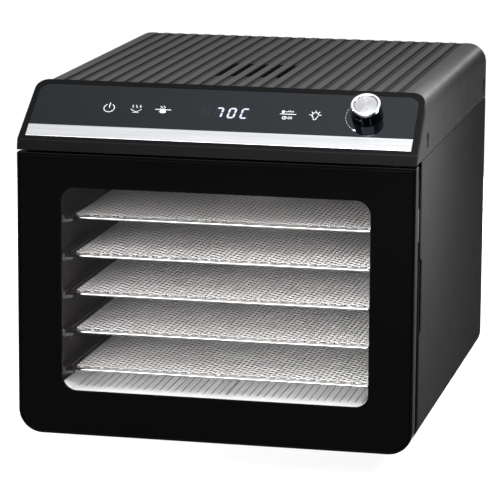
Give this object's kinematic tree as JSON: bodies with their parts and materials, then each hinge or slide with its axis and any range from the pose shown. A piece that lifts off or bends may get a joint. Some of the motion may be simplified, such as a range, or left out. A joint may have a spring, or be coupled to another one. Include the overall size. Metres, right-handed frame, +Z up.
{
  "type": "food dehydrator",
  "caption": "Countertop box food dehydrator with a side-hinged glass door, sliding mesh trays, a rear fan and heater, and a sloped panel with a display and a rotary knob.",
  "frame": {"origin": "centre of the footprint, on the surface that the feet stand on", "axes": "+X to the right seen from the front, +Y towards the rear, +Z up"},
  "size_m": [0.34, 0.394, 0.3014],
  "materials": {
    "painted_casing": "fine matte powder coat, dark grey",
    "cover_plastic": "matte moulded plastic, dark grey",
    "black_plastic": "satin moulded plastic, black",
    "gloss_black": "piano black gloss",
    "panel_glass": "smooth glossy panel, smoked black",
    "door_glass": "clear tempered glass",
    "brushed_aluminium": "brushed lengthwise, spun on the knob cap",
    "chrome": "polished",
    "stainless_steel": "polished stainless",
    "tray_mesh": "woven stainless wire",
    "cavity_steel": "satin, dark",
    "drip_tray_steel": "satin, pressed with fine grooves",
    "rubber": "matte",
    "circuit_board": "glass-epoxy board, green",
    "zinc_steel": "zinc plated",
    "heater_sheath": "oxidised heater sheath",
    "lamp_lens": "frosted lens"
  },
  "bodies": {
    "casing": {"outer_wrap": "painted_casing", "rear_cover": "painted_casing", "top_cover": "cover_plastic", "control_bezel": "black_plastic", "front_frame": "black_plastic", "display_module": "black_plastic", "power_inlet": "black_plastic", "control_panel": "panel_glass", "trim_strip": "brushed_aluminium", "fan_guard": "stainless_steel", "lower_hinge_pin": "stainless_steel", "upper_hinge_pin": "stainless_steel", "left_rack": "cavity_steel", "right_rack": "cavity_steel", "cavity_floor": "cavity_steel", "cavity_ceiling": "cavity_steel", "rear_baffle": "cavity_steel", "foot_front_left": "rubber", "foot_front_right": "rubber", "foot_rear_left": "rubber", "foot_rear_right": "rubber", "control_board": "circuit_board", "power_board": "circuit_board", "cover_screw_front_left": "zinc_steel", "cover_screw_front_right": "zinc_steel", "cover_screw_rear_left": "zinc_steel", "cover_screw_rear_right": "zinc_steel", "encoder_body": "zinc_steel", "motor_bracket": "zinc_steel", "fan_motor": "zinc_steel", "thermal_cutout": "zinc_steel", "catch_magnet": "zinc_steel", "lower_hinge_bracket": "zinc_steel", "upper_hinge_bracket": "zinc_steel", "heater_ring": "heater_sheath", "cavity_lamp": "lamp_lens"},
    "door": {"door_frame": "gloss_black", "door_glass": "door_glass", "door_gasket": "rubber", "door_strike": "zinc_steel", "lower_door_leaf": "zinc_steel", "upper_door_leaf": "zinc_steel"},
    "knob": {"knob_body": "gloss_black", "knob_ring": "chrome", "knob_cap": "brushed_aluminium", "knob_shaft": "zinc_steel"},
    "fan": {"fan_blade": "zinc_steel", "fan_shaft": "stainless_steel"},
    "tray_1": {"tray_frame_1": "stainless_steel", "tray_mesh_1": "tray_mesh"},
    "tray_2": {"tray_frame_2": "stainless_steel", "tray_mesh_2": "tray_mesh"},
    "tray_3": {"tray_frame_3": "stainless_steel", "tray_mesh_3": "tray_mesh"},
    "tray_4": {"tray_frame_4": "stainless_steel", "tray_mesh_4": "tray_mesh"},
    "tray_5": {"tray_frame_5": "stainless_steel", "tray_mesh_5": "tray_mesh"},
    "drip_tray": {"drip_tray": "drip_tray_steel"}
  },
  "joints": [
    {"name": "door_hinge", "type": "hinge", "parent": "casing", "child": "door", "pos_m": [-0.1655, -0.1775, 0.124], "axis": [0, 0, -1], "range_deg": [0, 110]},
    {"name": "knob_turn", "type": "hinge", "parent": "casing", "child": "knob", "pos_m": [0.1218, -0.16128, 0.28358], "axis": [0, -0.6144, 0.789], "continuous": true},
    {"name": "fan_spin", "type": "hinge", "parent": "casing", "child": "fan", "pos_m": [0, 0.109, 0.13], "axis": [0, 1, 0], "continuous": true},
    {"name": "tray_1_slide", "type": "slide", "parent": "casing", "child": "tray_1", "axis": [0, -1, 0], "range_m": [0, 0.02]},
    {"name": "tray_2_slide", "type": "slide", "parent": "casing", "child": "tray_2", "axis": [0, -1, 0], "range_m": [0, 0.02]},
    {"name": "tray_3_slide", "type": "slide", "parent": "casing", "child": "tray_3", "axis": [0, -1, 0], "range_m": [0, 0.02]},
    {"name": "tray_4_slide", "type": "slide", "parent": "casing", "child": "tray_4", "axis": [0, -1, 0], "range_m": [0, 0.02]},
    {"name": "tray_5_slide", "type": "slide", "parent": "casing", "child": "tray_5", "axis": [0, -1, 0], "range_m": [0, 0.02]},
    {"name": "drip_tray_slide", "type": "slide", "parent": "casing", "child": "drip_tray", "axis": [0, -1, 0], "range_m": [0, 0.012]}
  ]
}
